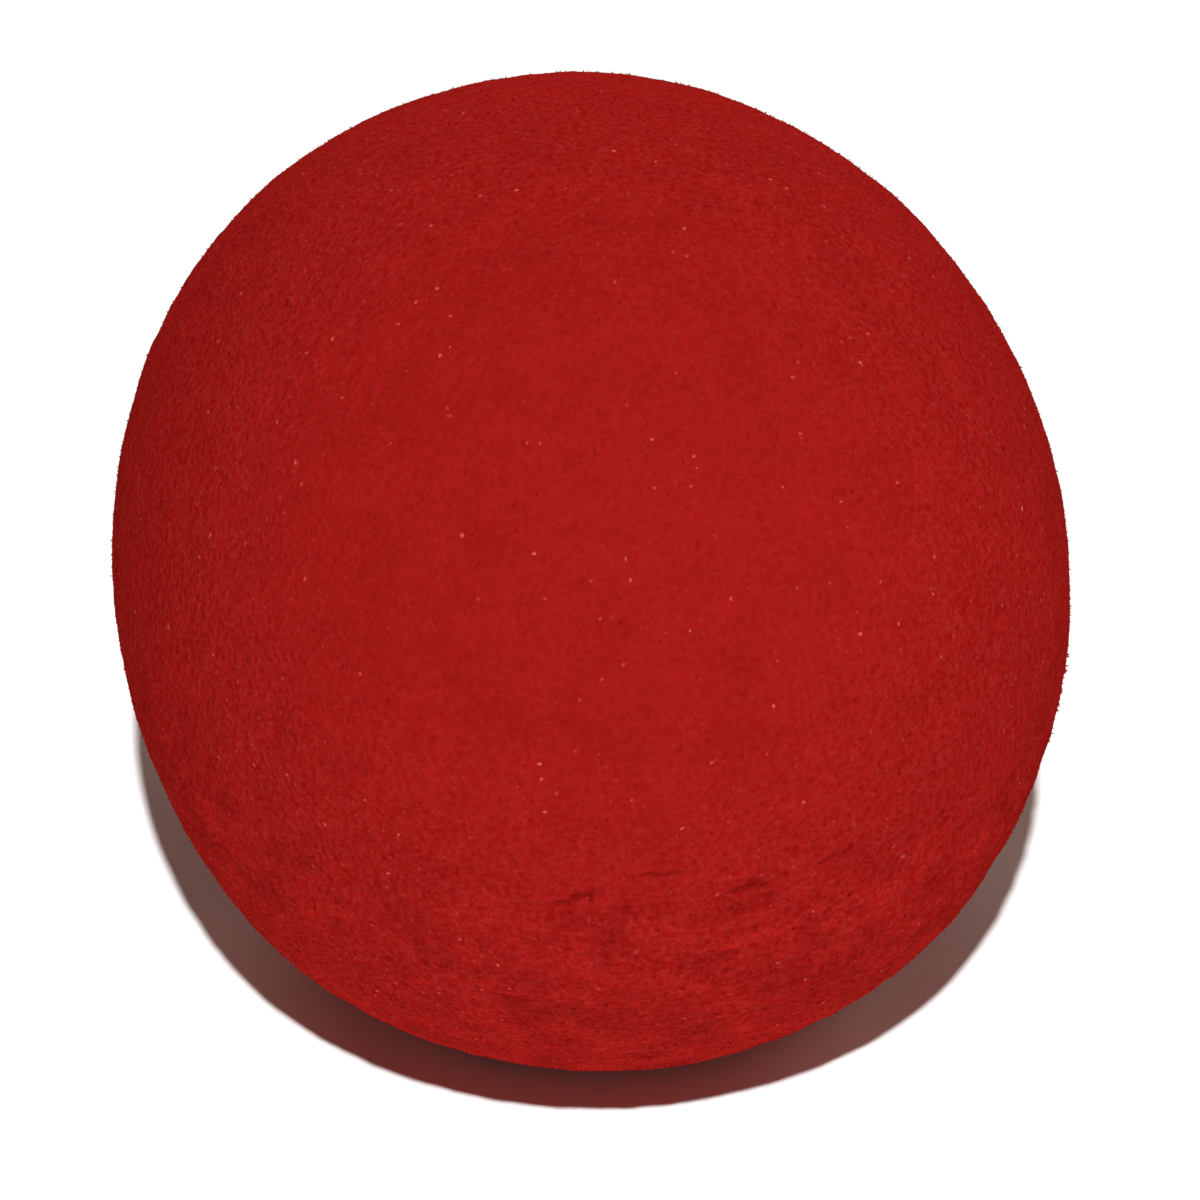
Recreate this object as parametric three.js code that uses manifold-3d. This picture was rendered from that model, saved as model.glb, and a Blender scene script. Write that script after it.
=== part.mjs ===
// A soft foam clown nose: one oval ball of red sponge, cut flat at the back, where a round mouth opens
// into a deep pocket for the wearer's nose. Millimetres, +Z up. It lies as put down on a table, on its
// back, so +Z is its front. The origin is the centre of the flat back.

import * as THREE from 'three';
import * as BufferGeometryUtils from 'three/addons/utils/BufferGeometryUtils.js';
import Module from 'manifold-3d';

// The ball, measured over its whole round form, as it was before the back was cut flat
const BALL_WIDTH = 48.2;
const BALL_LENGTH = 52.0;
const BALL_DEPTH = 50.0;
// Power of the curve that rounds the ball: 2 is a true oval, and more is squarer
const BALL_ROUNDING = 2.07;

// The pocket and its round mouth
const MOUTH_DIAMETER = 22.0;
const POCKET_DEPTH = 24.0;
const LIP_RADIUS = 0.8;
const POCKET_FLOOR_RADIUS = 2.0;

// The flat ring of the back, from the mouth's wall out to the ball, and its softened outer edge
const BACK_RING_WIDTH = 4.0;
const BACK_EDGE_SOFTNESS = 1.2;

// Low swells and hollows that the grinding wheel left on the ball. turn and rise say where, in degrees
// round from +X and up from the widest line; spread says how far it reaches, in degrees; lift is a share
// of the grinding depth, and is less than nothing for a hollow.
const GRINDING_DEPTH = 0.3;
const GRINDING_MARKS = [
  { turn: -90, rise: 0, spread: 15, lift: -1.0 },
  { turn: -138, rise: 8, spread: 24, lift: 0.6 },
  { turn: -42, rise: 10, spread: 26, lift: 0.7 },
  { turn: 60, rise: 30, spread: 26, lift: 0.6 },
  { turn: 150, rise: 14, spread: 28, lift: -0.7 },
  { turn: 100, rise: 62, spread: 24, lift: -0.5 },
];

// How finely the round forms are cut into facets
const TURN_STEPS = 64;
const BALL_STEPS = 30;
const CORNER_STEPS = 3;
// How far the pocket's cutting form runs out past the back, and how close two points are one
const CUT_OVERRUN = 3.0;
const SAME_POINT = 1e-4;

const FOAM = new THREE.MeshStandardMaterial({ color: 0xa31a18, roughness: 0.95, metalness: 0 });

const wasm = await Module();
wasm.setup();

// A unit circle's cosine or sine, pushed out towards a square by the ball's rounding power
function rounded(value) {
  return Math.sign(value) * Math.abs(value) ** (2 / BALL_ROUNDING);
}

// The back is cut where the ball, taken as round, is as wide as the mouth and its flat ring
const BALL_RADIUS = (BALL_WIDTH + BALL_LENGTH) / 4;
const BACK_RADIUS = MOUTH_DIAMETER / 2 + BACK_RING_WIDTH;
const BACK_ANGLE = Math.acos((BACK_RADIUS / BALL_RADIUS) ** (BALL_ROUNDING / 2));
const CENTRE_HEIGHT = (BALL_DEPTH / 2) * rounded(Math.sin(BACK_ANGLE));

// A point of the ball's section at an angle up from its widest line. Its radius is a share of the ball's.
function sectionPoint(angle) {
  const height = CENTRE_HEIGHT + (BALL_DEPTH / 2) * rounded(Math.sin(angle));
  return new THREE.Vector2(rounded(Math.cos(angle)), height);
}

// The ball's section from the middle of its back up to its front, with a soft edge round the flat back
function ballSection() {
  const flatEnd = new THREE.Vector2((BACK_RADIUS - BACK_EDGE_SOFTNESS) / BALL_RADIUS, 0);
  const roundStart = -BACK_ANGLE + BACK_EDGE_SOFTNESS / BALL_RADIUS;
  const edge = new THREE.QuadraticBezierCurve(flatEnd, sectionPoint(-BACK_ANGLE), sectionPoint(roundStart));
  const points = [new THREE.Vector2(0, 0), ...edge.getPoints(CORNER_STEPS)];
  for (let step = 1; step < BALL_STEPS; step += 1) {
    points.push(sectionPoint(THREE.MathUtils.lerp(roundStart, Math.PI / 2, step / BALL_STEPS)));
  }
  points.push(new THREE.Vector2(0, CENTRE_HEIGHT + BALL_DEPTH / 2));
  return points;
}

// How far the grinding marks lift the ball in a direction from its centre
function grindingLift(direction) {
  let lift = 0;
  for (const mark of GRINDING_MARKS) {
    const turn = THREE.MathUtils.degToRad(mark.turn);
    const rise = THREE.MathUtils.degToRad(mark.rise);
    const towards = new THREE.Vector3(Math.cos(turn), Math.sin(turn), Math.tan(rise));
    const away = direction.angleTo(towards) / THREE.MathUtils.degToRad(mark.spread);
    lift += GRINDING_DEPTH * mark.lift * Math.exp(-(away ** 2));
  }
  return lift;
}

// Turns a section about the vertical axis. LatheGeometry draws it about Y, so it is tipped up to Z.
function turned(section) {
  const geometry = new THREE.LatheGeometry(section, TURN_STEPS);
  geometry.rotateX(Math.PI / 2);
  return geometry;
}

// The whole ball, without its pocket: the turned section made oval, then ground. The marks fade out
// towards the back, which stays flat.
function ballGeometry() {
  const geometry = turned(ballSection());
  const places = geometry.attributes.position;
  const point = new THREE.Vector3();
  for (let index = 0; index < places.count; index += 1) {
    point.fromBufferAttribute(places, index);
    const radius = Math.hypot(point.x, point.y);
    const turn = Math.atan2(point.y, point.x);
    point.x = radius * (BALL_WIDTH / 2) * rounded(Math.cos(turn));
    point.y = radius * (BALL_LENGTH / 2) * rounded(Math.sin(turn));
    const fromCentre = point.clone().setZ(point.z - CENTRE_HEIGHT).normalize();
    const fade = THREE.MathUtils.smoothstep(point.z, 0, CENTRE_HEIGHT);
    point.addScaledVector(fromCentre, fade * grindingLift(fromCentre));
    places.setXYZ(index, point.x, point.y, point.z);
  }
  return geometry;
}

// The space of the pocket, from past the back to its floor: a flared lip, a straight wall and a soft corner
function pocketGeometry() {
  const wall = MOUTH_DIAMETER / 2;
  const cornerRadius = wall - POCKET_FLOOR_RADIUS;
  const cornerHeight = POCKET_DEPTH - POCKET_FLOOR_RADIUS;
  const section = new THREE.Path();
  section.moveTo(0, -CUT_OVERRUN);
  section.lineTo(wall + LIP_RADIUS, -CUT_OVERRUN);
  section.lineTo(wall + LIP_RADIUS, 0);
  section.absarc(wall + LIP_RADIUS, LIP_RADIUS, LIP_RADIUS, -Math.PI / 2, -Math.PI, true);
  section.absarc(cornerRadius, cornerHeight, POCKET_FLOOR_RADIUS, 0, Math.PI / 2, false);
  section.lineTo(0, POCKET_DEPTH);
  return turned(section.getPoints(CORNER_STEPS));
}

// Welds a turned form shut and leaves out the empty triangles at its poles
function solid(geometry) {
  const bare = geometry.clone();
  bare.deleteAttribute('normal');
  bare.deleteAttribute('uv');
  const welded = BufferGeometryUtils.mergeVertices(bare, SAME_POINT);
  const corners = welded.index.array;
  const kept = [];
  for (let index = 0; index < corners.length; index += 3) {
    const [a, b, c] = corners.slice(index, index + 3);
    if (a !== b && b !== c && c !== a) {
      kept.push(a, b, c);
    }
  }
  return new wasm.Manifold(new wasm.Mesh({
    numProp: 3,
    vertProperties: Float32Array.from(welded.attributes.position.array),
    triVerts: Uint32Array.from(kept),
  }));
}

function geometryOf(body) {
  const mesh = body.getMesh();
  const geometry = new THREE.BufferGeometry();
  geometry.setAttribute('position', new THREE.BufferAttribute(mesh.vertProperties, 3));
  geometry.setIndex(new THREE.BufferAttribute(mesh.triVerts, 1));
  geometry.computeVertexNormals();
  return geometry;
}

function foamBall() {
  const hollowed = solid(ballGeometry()).subtract(solid(pocketGeometry()));
  const mesh = new THREE.Mesh(geometryOf(hollowed), FOAM);
  mesh.name = 'foam_ball';
  return mesh;
}

const clownNose = new THREE.Group();
clownNose.add(foamBall());

export default clownNose;
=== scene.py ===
import math

import bpy
from mathutils import Matrix, Vector


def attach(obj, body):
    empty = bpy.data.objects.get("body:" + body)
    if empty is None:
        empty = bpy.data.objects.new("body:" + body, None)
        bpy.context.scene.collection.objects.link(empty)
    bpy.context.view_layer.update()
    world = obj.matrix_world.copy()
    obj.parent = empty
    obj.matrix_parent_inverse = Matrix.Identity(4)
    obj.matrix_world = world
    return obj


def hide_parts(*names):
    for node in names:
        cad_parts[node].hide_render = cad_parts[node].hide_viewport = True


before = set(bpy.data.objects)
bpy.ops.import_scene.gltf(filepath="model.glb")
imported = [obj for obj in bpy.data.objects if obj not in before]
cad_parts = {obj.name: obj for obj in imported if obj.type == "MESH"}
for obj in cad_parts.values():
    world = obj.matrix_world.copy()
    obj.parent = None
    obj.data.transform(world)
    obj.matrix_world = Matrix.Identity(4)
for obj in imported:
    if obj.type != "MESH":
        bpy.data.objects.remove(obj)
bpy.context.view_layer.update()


# The foam ball is the whole nose: dyed open-cell sponge, ground round on a wheel, which left a fine bloom
# and a few creases along its widest line. It is sliced flat at the back and punched with a tube cutter,
# so the pocket for the wearer's nose has rough walls of open cells.

MM = 0.001

ball = {
    "Width": 48.2 * MM,
    "Length": 52.0 * MM,
    "Depth": 50.0 * MM,
    "Rounding": 2.07,
    "Mouth": 22.0 * MM,
    "Pocket": 24.0 * MM,
    "Lip": 0.8 * MM,
    "Floor Corner": 2.0 * MM,
    "Back Ring": 4.0 * MM,
    "Back Edge": 3.6 * MM,
    "Grinding": 0.3 * MM,
}
ball_radius = (ball["Width"] + ball["Length"]) / 4
back_radius = ball["Mouth"] / 2 + ball["Back Ring"]
ball["Back Angle"] = math.acos((back_radius / ball_radius) ** (ball["Rounding"] / 2))
ball["Centre Height"] = ball["Depth"] / 2 * math.sin(ball["Back Angle"]) ** (2 / ball["Rounding"])
ball_centre = Vector((0, 0, ball["Centre Height"]))

# Low swells and hollows from the wheel: degrees round from +X, degrees up from the widest line, how far
# each reaches in degrees, and its lift as a share of the grinding depth
grinding_marks = [
    {"turn": -90, "rise": 0, "spread": 15, "lift": -1.0},
    {"turn": -138, "rise": 8, "spread": 24, "lift": 0.6},
    {"turn": -42, "rise": 10, "spread": 26, "lift": 0.7},
    {"turn": 60, "rise": 30, "spread": 26, "lift": 0.6},
    {"turn": 150, "rise": 14, "spread": 28, "lift": -0.7},
    {"turn": 100, "rise": 62, "spread": 24, "lift": -0.5},
]

# Softer swells in the sponge itself, with lifts in millimetres
sponge_swells = [
    {"turn": -119, "rise": -36, "spread": 17, "lift": -0.20},
    {"turn": -66, "rise": -21, "spread": 17, "lift": 0.22},
    {"turn": -154, "rise": -22, "spread": 17, "lift": 0.25},
    {"turn": 36, "rise": 61, "spread": 17, "lift": -0.30},
]

# Creases and small ridges where the sponge was pinched: their place, their slope in degrees, and their
# length, width and lift in millimetres
pinches = [
    {"turn": -93.2, "rise": 1.8, "slope": -1, "length": 2.5, "width": 0.62, "lift": -0.28},
    {"turn": -102.8, "rise": 5.7, "slope": -2, "length": 3.2, "width": 0.38, "lift": -0.21},
    {"turn": -111.4, "rise": 3.0, "slope": 20, "length": 3.4, "width": 0.46, "lift": -0.25},
    {"turn": -82.8, "rise": 2.8, "slope": 13, "length": 4.6, "width": 0.44, "lift": -0.17},
    {"turn": -93.6, "rise": -1.4, "slope": 4, "length": 5.0, "width": 1.60, "lift": -0.14},
    {"turn": -107.8, "rise": 0.2, "slope": 4, "length": 5.6, "width": 1.30, "lift": -0.14},
    {"turn": -92.4, "rise": -5.7, "slope": 6, "length": 4.6, "width": 0.80, "lift": 0.24},
    {"turn": -94.4, "rise": 4.0, "slope": 12, "length": 3.2, "width": 0.60, "lift": 0.12},
    {"turn": -115.0, "rise": -12.7, "slope": -3, "length": 6.4, "width": 1.00, "lift": 0.18},
]

# Single large pores among them, as wide as they are long
pits = [
    {"turn": -106.2, "rise": 1.7, "slope": 0, "length": 0.34, "width": 0.24, "lift": -0.30},
    {"turn": -110.0, "rise": 3.1, "slope": 0, "length": 0.26, "width": 0.22, "lift": -0.26},
    {"turn": -104.0, "rise": 1.7, "slope": 0, "length": 0.30, "width": 0.18, "lift": -0.17},
    {"turn": -92.6, "rise": 2.9, "slope": 5, "length": 0.60, "width": 0.26, "lift": -0.26},
    {"turn": -91.1, "rise": 1.7, "slope": 0, "length": 0.30, "width": 0.24, "lift": -0.22},
    {"turn": -95.2, "rise": 0.5, "slope": 0, "length": 0.26, "width": 0.26, "lift": -0.20},
    {"turn": -90.4, "rise": 0.1, "slope": 0, "length": 0.30, "width": 0.24, "lift": -0.20},
    {"turn": -112.2, "rise": 1.1, "slope": 0, "length": 0.30, "width": 0.24, "lift": -0.20},
    {"turn": -77.8, "rise": 2.9, "slope": 0, "length": 0.30, "width": 0.24, "lift": -0.20},
    {"turn": -115.0, "rise": -8.8, "slope": 0, "length": 0.26, "width": 0.24, "lift": -0.22},
    {"turn": -117.4, "rise": -8.2, "slope": 0, "length": 0.26, "width": 0.22, "lift": -0.20},
]

# They are all on the side of the ball that is this many degrees round
pinched_turn = -98
# How far their lines wander, as a share of half their width
pinch_wander = 1.6

# How many steps each face of the ball's net has, and how many its section has
surface_steps = 121
section_steps = 60
# The share of the section, and of the turn from back to front, that the pocket and the back ring take
pocket_share = 0.35
pocket_reach = math.radians(52)
# The span of heights in which the sponge goes from smooth above to coarse below, in millimetres from the
# widest line
coarse_span = (2.5, -3.0)


class Wire:
    """One output of a node. Arithmetic on wires adds Math nodes to their tree."""

    def __init__(self, socket):
        self.socket = socket
        self.tree = socket.id_data

    def also(self, output):
        return Wire(self.socket.node.outputs[output])

    def math(self, operation, *others):
        return number(self.tree, operation, self, *others)

    def vector(self, operation, *others, output=0):
        values = dict(enumerate((self, *others)))
        return add(self.tree, "ShaderNodeVectorMath", {"operation": operation}, values, output)

    def scaled(self, amount):
        return add(self.tree, "ShaderNodeVectorMath", {"operation": "SCALE"}, {0: self, "Scale": amount})

    def dot(self, other):
        return self.vector("DOT_PRODUCT", other, output="Value")

    def __add__(self, other):
        return self.math("ADD", other)

    __radd__ = __add__

    def __sub__(self, other):
        return self.math("SUBTRACT", other)

    def __rsub__(self, other):
        return number(self.tree, "SUBTRACT", other, self)

    def __mul__(self, other):
        return self.math("MULTIPLY", other)

    __rmul__ = __mul__

    def __truediv__(self, other):
        return self.math("DIVIDE", other)

    def __rtruediv__(self, other):
        return number(self.tree, "DIVIDE", other, self)

    def __pow__(self, other):
        return self.math("POWER", other)

    def __lt__(self, other):
        return self.math("LESS_THAN", other)

    def __gt__(self, other):
        return self.math("GREATER_THAN", other)


def add(tree, kind, settings, values, output=0):
    """Adds a node to a tree: its settings first, then the value or link of each socket."""
    node = tree.nodes.new(kind)
    for name, value in settings.items():
        setattr(node, name, value)
    for name, value in values.items():
        if isinstance(value, Wire):
            tree.links.new(value.socket, node.inputs[name])
        else:
            node.inputs[name].default_value = value
    return Wire(node.outputs[output])


def number(tree, operation, *values):
    return add(tree, "ShaderNodeMath", {"operation": operation}, dict(enumerate(values)))


def ramp(value, low, high, start=0.0, end=1.0):
    """Goes smoothly from start to end as the value goes from low to high, and no further."""
    ends = {"Value": value, "From Min": low, "From Max": high, "To Min": start, "To Max": end}
    return add(value.tree, "ShaderNodeMapRange", {"interpolation_type": "SMOOTHSTEP"}, ends)


def noise(where, size, detail=2.0):
    """Soft random lumps of a size in millimetres, from about -1 to 1."""
    values = {"Vector": where, "Scale": 1 / size, "Detail": detail}
    return add(where.tree, "ShaderNodeTexNoise", {}, values) * 2 - 1


def cells(where, size):
    """Random cells of a size in millimetres: the distance from each one's middle, in cells."""
    values = {"Vector": where, "Scale": 1 / size}
    return add(where.tree, "ShaderNodeTexVoronoi", {}, values, "Distance")


def xyz(tree, x, y, z):
    return add(tree, "ShaderNodeCombineXYZ", {}, {0: x, 1: y, 2: z})


def parts_of(vector):
    split = add(vector.tree, "ShaderNodeSeparateXYZ", {}, {0: vector}, "X")
    return split, split.also("Y"), split.also("Z")


def new_tree(name, sizes):
    """A geometry tree that takes a surface and named sizes. Gives the tree and its inputs as wires."""
    tree = bpy.data.node_groups.new(name, "GeometryNodeTree")
    tree.interface.new_socket("Surface", in_out="INPUT", socket_type="NodeSocketGeometry")
    for size in sizes:
        tree.interface.new_socket(size, in_out="INPUT", socket_type="NodeSocketFloat")
    tree.interface.new_socket("Piece", in_out="OUTPUT", socket_type="NodeSocketGeometry")
    entry = tree.nodes.new("NodeGroupInput")
    return tree, {socket.name: Wire(socket) for socket in entry.outputs if socket.name}


def close_tree(tree, geometry, material, smooth=True):
    """Ends a tree: real geometry, one material, smooth or flat faces."""
    real = add(tree, "GeometryNodeRealizeInstances", {}, {"Geometry": geometry})
    smooth = add(tree, "GeometryNodeSetShadeSmooth", {}, {"Geometry": real, "Shade Smooth": smooth})
    finished = add(tree, "GeometryNodeSetMaterial", {}, {"Geometry": smooth, "Material": material})
    exit_node = tree.nodes.new("NodeGroupOutput")
    tree.links.new(finished.socket, exit_node.inputs[0])


def grown(name, tree, sizes, surface=None):
    """Runs a tree once on a surface or on nothing, and keeps what it makes as a plain mesh."""
    piece = bpy.data.objects.new(name, surface or bpy.data.meshes.new(name))
    bpy.context.collection.objects.link(piece)
    modifier = piece.modifiers.new(name, "NODES")
    modifier.node_group = tree
    for socket in tree.interface.items_tree:
        if socket.in_out == "INPUT" and socket.name in sizes:
            modifier[socket.identifier] = sizes[socket.name]
    graph = bpy.context.evaluated_depsgraph_get()
    made = piece.evaluated_get(graph)
    mesh = bpy.data.meshes.new_from_object(made, preserve_all_data_layers=True, depsgraph=graph)
    piece.modifiers.remove(modifier)
    piece.data = mesh
    mesh.name = name
    return piece


def direction(turn, rise):
    """The unit vector at degrees round from +X and degrees up from level."""
    turn, rise = math.radians(turn), math.radians(rise)
    return Vector((math.cos(rise) * math.cos(turn), math.cos(rise) * math.sin(turn), math.sin(rise)))


def rounded(value, size):
    """A cosine or sine pushed out towards a square, as the ball's outline is."""
    return value.math("SIGN") * value.math("ABSOLUTE") ** (2 / size["Rounding"].math("MAXIMUM", 1))


def section_curve(tree, size):
    """Half the ball's section as one line: from the pocket's floor, over the back, to the front."""
    index = add(tree, "GeometryNodeInputIndex", {}, {})
    climb = ((index - 3) / section_steps).math("MAXIMUM", 0)
    angle = climb * (size["Back Angle"] + math.pi / 2) - size["Back Angle"]
    radius = (size["Width"] + size["Length"]) / 4 * rounded(angle.math("COSINE").math("MAXIMUM", 0), size)
    height = size["Centre Height"] + size["Depth"] / 2 * rounded(angle.math("SINE"), size)
    point = xyz(tree, radius, 0, height)
    wall = size["Mouth"] / 2
    corners = [xyz(tree, 0, 0, size["Pocket"]), xyz(tree, wall, 0, size["Pocket"]), xyz(tree, wall, 0, 0)]
    for place in (2, 1, 0):
        values = {"Switch": index < place + 0.5, "False": point, "True": corners[place]}
        point = add(tree, "GeometryNodeSwitch", {"input_type": "VECTOR"}, values)
    line = add(tree, "GeometryNodeCurvePrimitiveLine", {}, {})
    line = add(tree, "GeometryNodeResampleCurve", {}, {"Curve": line, "Count": section_steps + 4})
    line = add(tree, "GeometryNodeSetPosition", {}, {"Geometry": line, "Position": point})
    values = {"Geometry": line, "Name": "oval", "Value": index > 2.5}
    line = add(tree, "GeometryNodeStoreNamedAttribute", {"domain": "POINT"}, values)
    bend = 0
    for place, corner in enumerate(("Floor Corner", "Lip", "Back Edge"), start=1):
        bend = size[corner] * ((index - place).math("ABSOLUTE") < 0.5) + bend
    values = {"Curve": line, "Radius": bend, "Limit Radius": True}
    return add(tree, "GeometryNodeFilletCurve", {}, values)


def swell(outward, mark):
    """A soft round lift about the mark's direction from the ball's centre, faded out over its spread."""
    towards = direction(mark["turn"], mark["rise"])
    away = outward.dot(towards).math("MINIMUM", 1).math("ARCCOSINE") / math.radians(mark["spread"])
    return (away * away * -1).math("EXPONENT") * mark["lift"]


def pinch_lift(where, marks):
    """The creases, ridges or pits, in millimetres, on a surface whose place is in millimetres."""
    wander = noise(where, 0.8) * pinch_wander
    lift = 0
    for mark in marks:
        out = direction(mark["turn"], mark["rise"])
        level = Vector((-out.y, out.x, 0)).normalized()
        along = Matrix.Rotation(math.radians(mark["slope"]), 3, out) @ level
        axes = (along * 2 / mark["length"], out.cross(along) * 2 / mark["width"])
        middle = (ball_centre + out * ball_radius) / MM
        run, step = (where.dot(axis) - middle.dot(axis) for axis in axes)
        away = xyz(where.tree, run, step + wander, 0)
        share = number(where.tree, "POWER", 1 / math.e, away.dot(away))
        lift = number(where.tree, "MULTIPLY_ADD", share, mark["lift"], lift)
    return lift * ramp(where.dot(direction(pinched_turn, 0)), 4, 8)


def foam_relief(where, cut, below):
    """The sponge's unevenness in millimetres: ground smooth outside, torn cells where it is cut."""
    outward = where.vector("SUBTRACT", ball_centre / MM).vector("NORMALIZE")
    swells = sum(swell(outward, mark) for mark in sponge_swells)
    lumps = noise(where, 4.2) * 0.09 + noise(where, 1.6) * 0.05 + noise(where, 0.95, 2) * 0.07
    smudged = where.vector("MULTIPLY", (0.4, 0.4, 1.0))
    coarse = noise(smudged, 0.9, 3) * 0.09 + noise(where, 1.1, 2) * 0.06
    ground = swells + lumps + below * coarse + pinch_lift(where, pinches)
    torn = ramp(cells(where, 1.2), 0.05, 0.62, -0.16, 0.0) + noise(where, 2.6) * 0.06 - 0.06
    return ground * (1 - cut) + torn.math("MINIMUM", 0) * cut


def foam_ball_tree(material):
    """The ball: an even closed net, laid on the turned section, ground, and roughened by its cells."""
    tree, size = new_tree("foam ball", ball)
    count = surface_steps + 1
    values = {"Size": (2, 2, 2), "Vertices X": count, "Vertices Y": count, "Vertices Z": count}
    net = add(tree, "GeometryNodeMeshCube", {}, values)
    spot = add(tree, "GeometryNodeInputPosition", {}, {})
    x, y, z = ((part * (math.pi / 4)).math("TANGENT") for part in parts_of(spot))
    polar = (z * -1 / (x * x + y * y + z * z).math("SQRT")).math("ARCCOSINE")
    inner = (polar / pocket_reach).math("MINIMUM", 1)
    outer = ((polar - pocket_reach) / (math.pi - pocket_reach)).math("MAXIMUM", 0)
    factor = inner * pocket_share + outer * (1 - pocket_share)

    marked = add(tree, "GeometryNodeInputNamedAttribute", {"data_type": "FLOAT"}, {"Name": "oval"})
    settings = {"data_type": "FLOAT", "mode": "FACTOR"}
    values = {"Curves": section_curve(tree, size), "Value": marked, "Factor": factor}
    sampled = add(tree, "GeometryNodeSampleCurve", settings, values, "Position")
    oval = sampled.also("Value")
    radius, _, height = parts_of(sampled)
    turn = y.math("ARCTAN2", x)
    mean = (size["Width"] + size["Length"]) / 4
    cosine, sine = turn.math("COSINE"), turn.math("SINE")
    wide = rounded(cosine, size) * size["Width"] / 2 / mean
    long = rounded(sine, size) * size["Length"] / 2 / mean
    across = radius * (cosine * (1 - oval) + wide * oval)
    along = radius * (sine * (1 - oval) + long * oval)
    place = xyz(tree, across, along, height)
    centre = xyz(tree, 0, 0, size["Centre Height"])
    outward = place.vector("SUBTRACT", centre).vector("NORMALIZE")
    fade = ramp(height, 0, size["Centre Height"]) * (oval > 0.99)
    lift = sum(swell(outward, mark) for mark in grinding_marks) * size["Grinding"]
    place = place.vector("ADD", outward.scaled(lift * fade))
    values = {"Geometry": net, "Name": "cut", "Value": ramp(oval, 0.9, 1.0, 1.0, 0.0)}
    net = add(tree, "GeometryNodeStoreNamedAttribute", {"domain": "POINT"}, values)
    shaped = add(tree, "GeometryNodeSetPosition", {}, {"Geometry": net, "Position": place})

    normal = add(tree, "GeometryNodeInputNormal", {}, {})
    where = spot.scaled(1 / MM)
    cut = add(tree, "GeometryNodeInputNamedAttribute", {"data_type": "FLOAT"}, {"Name": "cut"})
    rise = parts_of(spot)[2] - size["Centre Height"]
    below = ramp(rise, *(end * MM for end in coarse_span))
    values = {"Geometry": shaped, "Offset": normal.scaled(foam_relief(where, cut, below) * MM)}
    rough = add(tree, "GeometryNodeSetPosition", {}, values)
    # Nothing reaches below the sheet that the ball lies on
    east, north, up = parts_of(spot)
    level = xyz(tree, east, north, up.math("MAXIMUM", 0))
    rough = add(tree, "GeometryNodeSetPosition", {}, {"Geometry": rough, "Position": level})
    close_tree(tree, rough, material)
    return tree


def new_material(name):
    """An empty material. Gives it, its tree and its last node."""
    material = bpy.data.materials.new(name)
    material.use_nodes = True
    tree = material.node_tree
    tree.nodes.clear()
    return material, tree, tree.nodes.new("ShaderNodeOutputMaterial")


def mixed(share, one, other):
    """A colour part of the way from one to the other."""
    values = {0: share, 6: one, 7: other}
    return add(share.tree, "ShaderNodeMix", {"data_type": "RGBA"}, values, 2)


# A grain of the sponge is anywhere from deep red to a paler one, in the shader's own linear colour
sponge_deep = (0.272, 0.0024, 0.0014, 1)
sponge_pale = (0.326, 0.0148, 0.0124, 1)
# Pores are this darker red, which also paints the shade in the creases and pits
pore_and_shade_red = (0.150, 0.0026, 0.0019, 1)
glint_pink = (0.600, 0.1080, 0.0860, 1)
# Painted shade: the grain is painted faintest where the surface faces about here, towards the lamps and
# camera
lamp_facing = direction(-112, 46)
# Millimetres: the sizes of the lumps in the colour, the heights between which it turns coarse, and how
# deep the cells look
grain_size = 0.30
patch_size = 0.6
smear_size = 0.9
wide_size = 3.0
coarse_heights = (24.0, 17.0)
cell_depth = 0.085


def blots(where, size, radius, share):
    """Ragged spots in a share of random cells, some strong and some faint. 1 in a strong one's middle."""
    near = cells(where, size)
    draw = parts_of(near.also("Color"))[0]
    return ramp(near, radius / size, radius / size * 0.35) * ramp(draw, 1 - share, 1)


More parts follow.
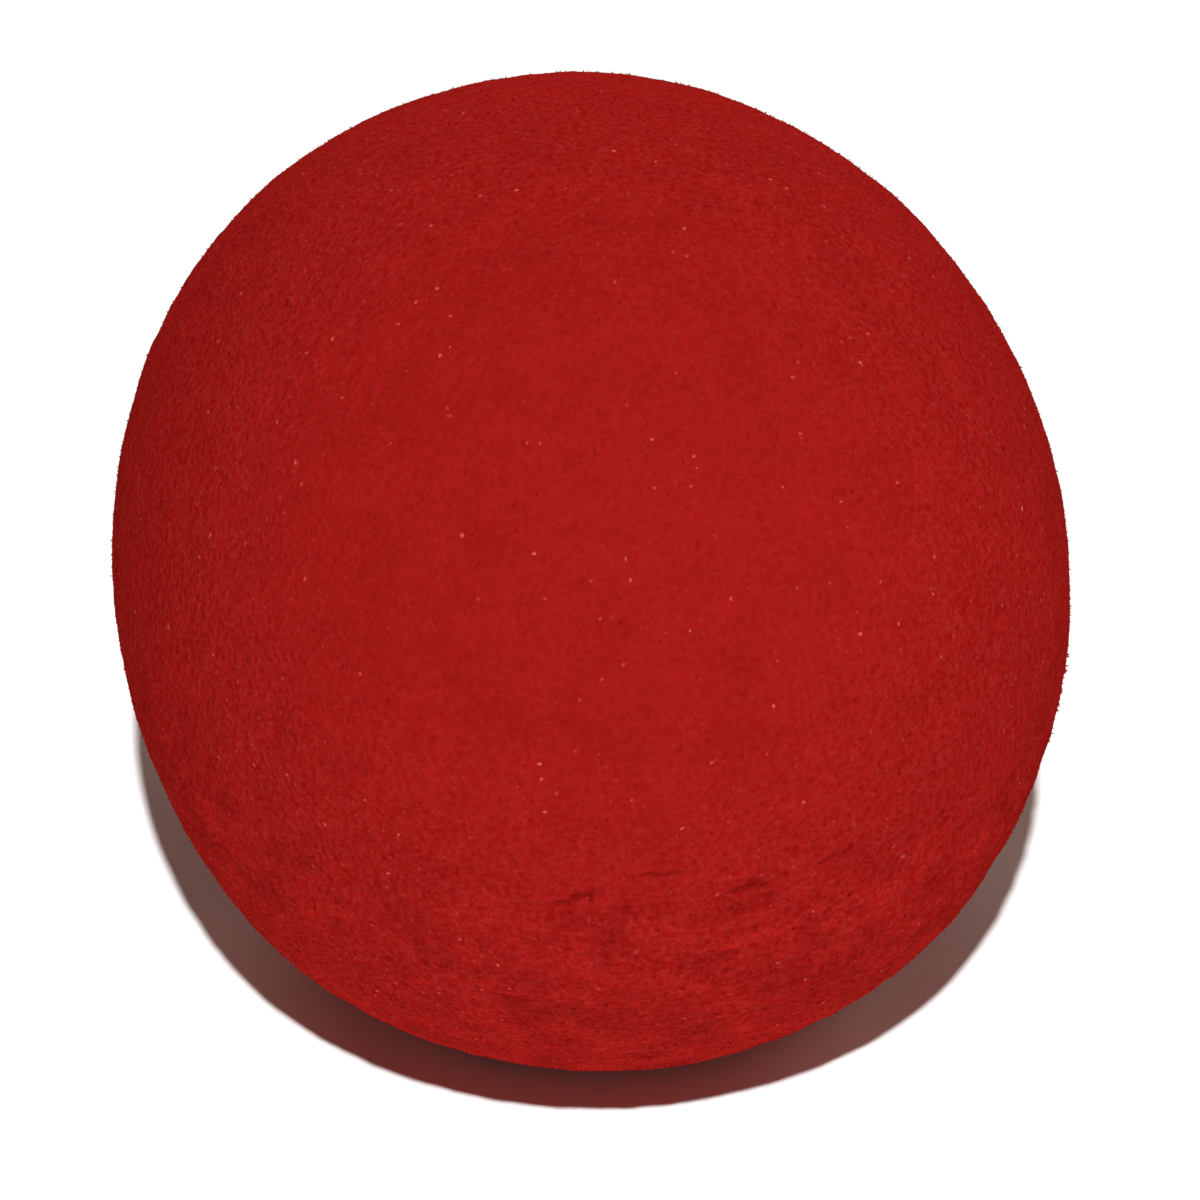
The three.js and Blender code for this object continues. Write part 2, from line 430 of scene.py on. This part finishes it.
def ground_sponge():
    """Ground sponge: dense tiny cells in one red, dark pores, painted shade in creases and pits, painted
    highlights on ridges, and glossier cell-window films painted with pale pink glints.
    """
    material, tree, last = new_material("ground sponge")
    spot = add(tree, "ShaderNodeTexCoord", {}, {}, "Object")
    where = spot.scaled(1 / MM)
    cut = add(tree, "ShaderNodeAttribute", {"attribute_name": "cut"}, {}, "Fac")
    below = ramp(parts_of(where)[2], *coarse_heights)
    drift = add(tree, "ShaderNodeTexNoise", {}, {"Vector": where, "Scale": 5, "Detail": 1}, "Color")
    ragged = where.vector("ADD", drift.scaled(0.25))

    grain = noise(where, grain_size, 1)
    patch = noise(where, patch_size)
    smears = noise(where.vector("MULTIPLY", (0.45, 0.45, 1.0)), smear_size)
    wide = noise(where, wide_size, 1)
    # Painted shade of the cells' relief: grain colour contrast, and the bump, are weakest facing the
    # lamps and strongest where light grazes
    facing = where.vector("SUBTRACT", ball_centre / MM).vector("NORMALIZE").dot(lamp_facing)
    ground = ramp(facing, 0.64, 0.98, 1.04, 0.34)
    colour = mixed((grain * 0.75 + 0.1) * ground + 0.47, sponge_deep, sponge_pale)
    lift = pinch_lift(where, pinches + pits)
    # Painted highlight: the raised ridges are paler
    ridge_highlight = ramp(lift, 0.02, 0.20) * 0.24
    mottle = patch * (below * 0.10 + 0.11) + smears * (below * 0.16 + 0.07) + wide * (below * 0.20 + 0.09)
    colour = colour.scaled(mottle + ridge_highlight + 1)

    # The cut faces have wide open cells nearly everywhere
    pores = blots(ragged, 0.70, cut * 0.05 + 0.24, cut * 0.38 + 0.50)
    pores = pores * (below * 0.40 + 0.25).math("MAXIMUM", cut)
    pores = pores.math("MAXIMUM", blots(ragged, 0.42, 0.14, 0.6) * (below * 0.20 + 0.15))
    # Painted shade: the creases and pits are darkened towards the pores' red where they sink in
    crease_shade = ramp(lift, -0.02, -0.30)
    dark = (pores * 0.85).math("MAXIMUM", crease_shade * 0.7)
    colour = mixed(dark, colour, pore_and_shade_red)
    # Cell-window films: glossier where they are, and painted pale pink as glints of the light they catch
    windows_and_glints = blots(ragged, 0.55, 0.12, 0.12)
    windows_and_glints = windows_and_glints.math("MAXIMUM", blots(ragged, 0.36, 0.11, 0.5) * ground * 0.24)
    colour = mixed(windows_and_glints * 0.85, colour, glint_pink)

    rough = grain * ground * 0.6 + patch * 0.8 - pores * (cut * 0.9 + 0.9)
    values = {"Strength": 1.0, "Distance": cell_depth * MM, "Height": rough}
    bump = add(tree, "ShaderNodeBump", {}, values)
    values = {
        "Base Color": colour,
        "Roughness": ramp(windows_and_glints, 0, 1, 0.95, 0.55),
        "Diffuse Roughness": 0.15,
        "Specular IOR Level": 0.0,
        "Normal": bump,
    }
    shader = add(tree, "ShaderNodeBsdfPrincipled", {}, values)
    tree.links.new(shader.socket, last.inputs["Surface"])
    return material


sponge = ground_sponge()
foam_ball = grown("foam_ball_sponge", foam_ball_tree(sponge), ball)
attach(foam_ball, "root")
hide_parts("foam_ball")


# Torn cell walls stand up all over the ground sponge as a short fuzz, which shows along the outline and
# on the sides. They are bits of the same sponge, a few of them larger where the wheel left the ball.

fuzz = {
    "Spacing": 0.38 * MM,
    "Least Width": 0.06 * MM,
    "Most Width": 0.13 * MM,
    "Least Height": 0.03 * MM,
    "Most Height": 0.22 * MM,
    "Lean": math.radians(38),
    "Ragged Reach": math.radians(4.5),
    "Clear Height": 0.6 * MM,
}
ragged_spot = direction(-34, -7)
# The most shards on a square metre, before those that stand too near each other are left out
fuzz_density = 1.2e7
# How far a shard is sunk, as a share of its height
root_share = 0.28


def chance(tree, low, high, seed):
    """A random number for each point, from low to high."""
    values = {2: low, 3: high, "Seed": seed}
    return add(tree, "FunctionNodeRandomValue", {"data_type": "FLOAT"}, values, 1)


def fuzz_tree(material):
    """Small closed shards, standing on the ball's surface with a lean, their roots sunk in it."""
    tree, size = new_tree("fuzz", fuzz)
    spot = add(tree, "GeometryNodeInputPosition", {}, {})
    clear = parts_of(spot)[2] > size["Clear Height"]
    values = {"Mesh": size["Surface"], "Selection": clear, "Distance Min": size["Spacing"]}
    values.update({"Density Max": fuzz_density, "Seed": 3})
    points = add(tree, "GeometryNodeDistributePointsOnFaces", {"distribute_method": "POISSON"}, values)
    spin = xyz(tree, 0, 0, chance(tree, 0, math.tau, 5))
    spin = add(tree, "FunctionNodeEulerToRotation", {}, {0: spin})
    lean = xyz(tree, size["Lean"] * chance(tree, -1, 1, 6), size["Lean"] * chance(tree, -1, 1, 7), 0)
    lean = add(tree, "FunctionNodeEulerToRotation", {}, {0: lean})
    stand = points.also("Rotation")
    for turned_by in (lean, spin):
        values = {"Rotation": stand, "Rotate By": turned_by}
        stand = add(tree, "FunctionNodeRotateRotation", {"rotation_space": "LOCAL"}, values)

    outward = spot.vector("SUBTRACT", ball_centre).vector("NORMALIZE")
    away = outward.dot(ragged_spot).math("MINIMUM", 1).math("ARCCOSINE") / size["Ragged Reach"]
    larger = (away * away * -1).math("EXPONENT") * chance(tree, -1.5, 2.0, 8).math("MAXIMUM", 0) + 1
    grown_share = chance(tree, 0, 1, 9) ** 2.5
    width = size["Least Width"] + (size["Most Width"] - size["Least Width"]) * chance(tree, 0, 1, 10)
    height = size["Least Height"] + (size["Most Height"] - size["Least Height"]) * grown_share
    scale = xyz(tree, width * larger, width * larger, height * larger)
    shard = {"Vertices": 3, "Radius Top": 0.0, "Radius Bottom": 0.6, "Depth": 1.0}
    shard = add(tree, "GeometryNodeMeshCone", {"fill_type": "NGON"}, shard)
    values = {"Geometry": shard, "Offset": (0, 0, -root_share)}
    shard = add(tree, "GeometryNodeSetPosition", {}, values)
    values = {"Points": points, "Instance": shard, "Rotation": stand, "Scale": scale}
    shards = add(tree, "GeometryNodeInstanceOnPoints", {}, values)
    close_tree(tree, shards, material, smooth=False)
    return tree


foam_fuzz = grown("foam_fuzz", fuzz_tree(sponge), fuzz, surface=foam_ball.data.copy())
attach(foam_fuzz, "root")


# The floor is the plain white sheet that the nose lies on, and the same white goes on all round it. They
# are two pieces because only the sheet takes the nose's shadow and its lamps.

sheet_radius = 150 * MM
room_radius = 4000 * MM
rim_steps = 96


def flat_ring(name, inner, outer, material):
    """A flat white ring on the floor, or a disc where there is no inner radius."""
    turns = [math.tau * step / rim_steps for step in range(rim_steps)]
    circle = [(math.cos(turn), math.sin(turn)) for turn in turns]
    radii = [outer, inner] if inner else [outer]
    rims = [(radius * x, radius * y, 0) for radius in radii for x, y in circle]
    faces = [tuple(range(rim_steps))]
    if inner:
        pairs = [(step, (step + 1) % rim_steps) for step in range(rim_steps)]
        faces = [(one, other, rim_steps + other, rim_steps + one) for one, other in pairs]
    mesh = bpy.data.meshes.new(name)
    mesh.from_pydata(rims, [], faces)
    mesh.materials.append(material)
    piece = bpy.data.objects.new(name, mesh)
    bpy.context.collection.objects.link(piece)
    return piece


paper, paper_tree, paper_last = new_material("white sheet")
paper_white = (0.76, 0.76, 0.76, 1)
paper_looks = {"Base Color": paper_white, "Roughness": 0.9}
paper_shader = add(paper_tree, "ShaderNodeBsdfPrincipled", {}, paper_looks)
paper_tree.links.new(paper_shader.socket, paper_last.inputs["Surface"])
sheet = flat_ring("sheet", 0, sheet_radius, paper)
surround = flat_ring("surround", sheet_radius, room_radius, paper)


# The light is a studio's: a small lamp above the camera that lights the sheet and throws the nose's
# shadow, soft lamps that wrap the nose and leave that shadow alone, and weak ones far behind that open
# its ends.

view_turn = -110.5
view_rise = 40.0

# Each lamp's place is in degrees round from the camera to its right and up from the sheet, and its
# distance and width are in millimetres. Its light is the brightness of a white card that faces it.
lamps = [
    {"name": "sheet lamp", "on": "sheet", "round": 1.35, "up": 61.9,
     "away": 1104, "width": 34, "light": 1.55},
    {"name": "right wall", "on": "sheet", "round": 134, "up": 16,
     "away": 1500, "width": 1000, "light": 0.25},
    {"name": "left wall", "on": "sheet", "round": -165, "up": 14,
     "away": 1500, "width": 800, "light": 0.23},
    {"name": "front wall", "on": "sheet", "round": -8, "up": 14,
     "away": 1500, "width": 1000, "light": 0.065},
    {"name": "main lamp", "on": "nose", "round": 10, "up": 69,
     "away": 1100, "width": 300, "light": 0.8},
    {"name": "low lamp", "on": "nose", "round": 2, "up": 9,
     "away": 1100, "width": 240, "light": 0.38},
    {"name": "rear lamp", "on": "nose", "round": 160, "up": 60,
     "away": 1100, "width": 400, "light": 0.33},
    {"name": "back lamp", "on": "nose", "round": 178, "up": 12,
     "away": 1100, "width": 400, "light": 0.26},
    {"name": "high lamp", "on": "surround", "round": 0, "up": 88,
     "away": 9000, "width": 2000, "light": 1.7},
]

# The lamps that stand for the room's walls are warm
wall_colour = (1.0, 0.86, 0.72)
lamp_colour = (1.0, 1.0, 1.0)

lit = {"nose": [foam_ball, foam_fuzz], "sheet": [sheet], "surround": [surround]}
for name, pieces in lit.items():
    lit[name] = bpy.data.collections.new("lit " + name)
    for piece in pieces:
        lit[name].objects.link(piece)

for lamp in lamps:
    light = bpy.data.lights.new(lamp["name"], "AREA")
    light.shape = "DISK"
    light.size = lamp["width"] * MM
    light.energy = lamp["light"] * (math.pi * lamp["away"] * MM) ** 2
    light.color = wall_colour if "wall" in lamp["name"] else lamp_colour
    holder = bpy.data.objects.new(lamp["name"], light)
    bpy.context.collection.objects.link(holder)
    towards = direction(view_turn + lamp["round"], lamp["up"])
    holder.location = ball_centre + towards * lamp["away"] * MM
    holder.rotation_euler = towards.to_track_quat("Z", "Y").to_euler()
    holder.light_linking.receiver_collection = lit[lamp["on"]]

# The room is as white as the sheet to look at, and lights the nose weakly
room_seen = (1.0, 1.0, 1.0, 1)
room_light = (0.040, 0.037, 0.034, 1)
room = bpy.data.worlds.new("room")
room.use_nodes = True
bpy.context.scene.world = room
room_tree = room.node_tree
seen = add(room_tree, "ShaderNodeLightPath", {}, {}, "Is Camera Ray")
shade = mixed(seen, room_light, room_seen)
room_tree.links.new(shade.socket, room_tree.nodes["Background"].inputs["Color"])


# The camera looks down on the nose as the photograph does. The ball's middle lies a little up and left
# of the picture's, by the pixels given, at the photograph's scale.

view_distance = 260 * MM
picture_pixels = 1200
pixel_size = 0.051446 * MM
centre_right = -14.2
centre_up = 29.7

camera = bpy.data.cameras.new("camera")
camera.sensor_width = 36
camera.lens = camera.sensor_width * view_distance / (picture_pixels * pixel_size)
camera.clip_start = 10 * MM
camera_object = bpy.data.objects.new("camera", camera)
bpy.context.collection.objects.link(camera_object)
toward_camera = direction(view_turn, view_rise)
picture_right = Vector((0, 0, 1)).cross(toward_camera).normalized()
picture_up = toward_camera.cross(picture_right)
aim = ball_centre - (picture_right * centre_right + picture_up * centre_up) * pixel_size
camera_object.location = ball_centre + toward_camera * view_distance
camera_object.rotation_euler = (aim - camera_object.location).to_track_quat("-Z", "Y").to_euler()
bpy.context.scene.camera = camera_object
bpy.context.scene.view_settings.view_transform = "Standard"
